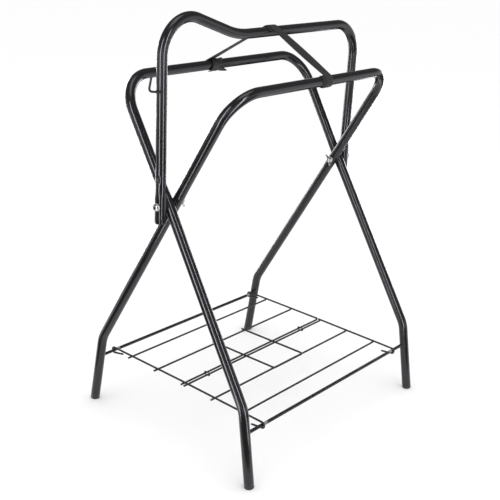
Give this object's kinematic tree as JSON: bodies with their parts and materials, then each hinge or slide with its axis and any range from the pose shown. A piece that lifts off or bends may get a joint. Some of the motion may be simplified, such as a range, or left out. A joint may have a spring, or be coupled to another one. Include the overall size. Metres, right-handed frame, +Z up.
{
  "type": "saddle rack",
  "caption": "Folding saddle rack with crossed tubular frames, a humped ridge tube over the pivots, a folding wire shelf, a webbing strap and a bridle hook.",
  "frame": {"origin": "on the floor, under the middle of the rack", "axes": "+Z up, +Y along the rails away from the hump and bridle hook, +X across the rack towards rail B and the feet of frame A"},
  "size_m": [0.552, 0.6942, 0.9646],
  "materials": {
    "tube_paint": "gloss black powder coat",
    "wire_paint": "satin black powder coat on wire",
    "cap_plastic": "moulded black polyethylene",
    "webbing": "woven black polypropylene webbing",
    "zinc": "bright zinc plate"
  },
  "bodies": {
    "arch": {"bridle_hook": "tube_paint", "head_washer_far": "zinc", "head_washer_near": "zinc", "nut_washer_far": "zinc", "nut_washer_near": "zinc", "pivot_bolt_far": "zinc", "pivot_bolt_near": "zinc", "ridge_plug_far": "cap_plastic", "ridge_plug_near": "cap_plastic", "ridge_tube": "tube_paint", "spacer_washers_far": "cap_plastic", "spacer_washers_near": "cap_plastic", "strap_ridge_wrap": "webbing", "strap_span_a": "webbing", "strap_span_b": "webbing"},
    "frame_a": {"crossbar_a": "tube_paint", "foot_cap_a_far": "cap_plastic", "foot_cap_a_near": "cap_plastic", "frame_a_tube": "tube_paint", "strap_loop_a": "webbing", "strap_tails": "webbing"},
    "frame_b": {"crossbar_b": "tube_paint", "foot_cap_b_far": "cap_plastic", "foot_cap_b_near": "cap_plastic", "frame_b_tube": "tube_paint", "strap_loop_b": "webbing"},
    "shelf_b": {"shelf_b_inner_wire": "wire_paint", "shelf_b_middle_wire": "wire_paint", "shelf_b_outer_wire": "wire_paint", "shelf_b_side_far": "wire_paint", "shelf_b_side_near": "wire_paint", "shelf_clip_far": "wire_paint", "shelf_clip_near": "wire_paint", "shelf_stop_loop": "wire_paint"},
    "shelf_a": {"shelf_a_inner_wire": "wire_paint", "shelf_a_middle_wire": "wire_paint", "shelf_a_outer_wire": "wire_paint", "shelf_a_side_far": "wire_paint", "shelf_a_side_near": "wire_paint"},
    "wing_nut_near": {"wing_nut_near": "zinc"},
    "wing_nut_far": {"wing_nut_far": "zinc"}
  },
  "joints": [
    {"name": "frame_a_fold", "type": "hinge", "parent": "arch", "child": "frame_a", "pos_m": [0, 0, 0.57], "axis": [0, 1, 0], "range_deg": [0, 27.6], "deforming": ["strap_span_a"]},
    {"name": "frame_b_fold", "type": "hinge", "parent": "arch", "child": "frame_b", "pos_m": [0, 0, 0.57], "axis": [0, 1, 0], "range_deg": [-27.6, 0], "deforming": ["strap_span_b"]},
    {"name": "shelf_b_hinge", "type": "hinge", "parent": "frame_b", "child": "shelf_b", "pos_m": [-0.246, 0, 0.1213], "axis": [0, 1, 0], "range_deg": [-53.9, 0]},
    {"name": "shelf_a_hinge", "type": "hinge", "parent": "shelf_b", "child": "shelf_a", "pos_m": [0.0085, 0, 0.12314], "axis": [0, 1, 0], "range_deg": [0, 167.1]},
    {"name": "wing_nut_near_turn", "type": "hinge", "parent": "arch", "child": "wing_nut_near", "pos_m": [0, -0.263, 0.57], "axis": [0, 1, 0], "continuous": true},
    {"name": "wing_nut_far_turn", "type": "hinge", "parent": "arch", "child": "wing_nut_far", "pos_m": [0, 0.263, 0.57], "axis": [0, 1, 0], "continuous": true}
  ],
  "couplings": [
    {"joint": "frame_b_fold", "follows": "frame_a_fold", "ratio": -1},
    {"joint": "shelf_b_hinge", "follows": "frame_a_fold", "ratio": -1.95},
    {"joint": "shelf_a_hinge", "follows": "frame_a_fold", "ratio": 6.05}
  ]
}
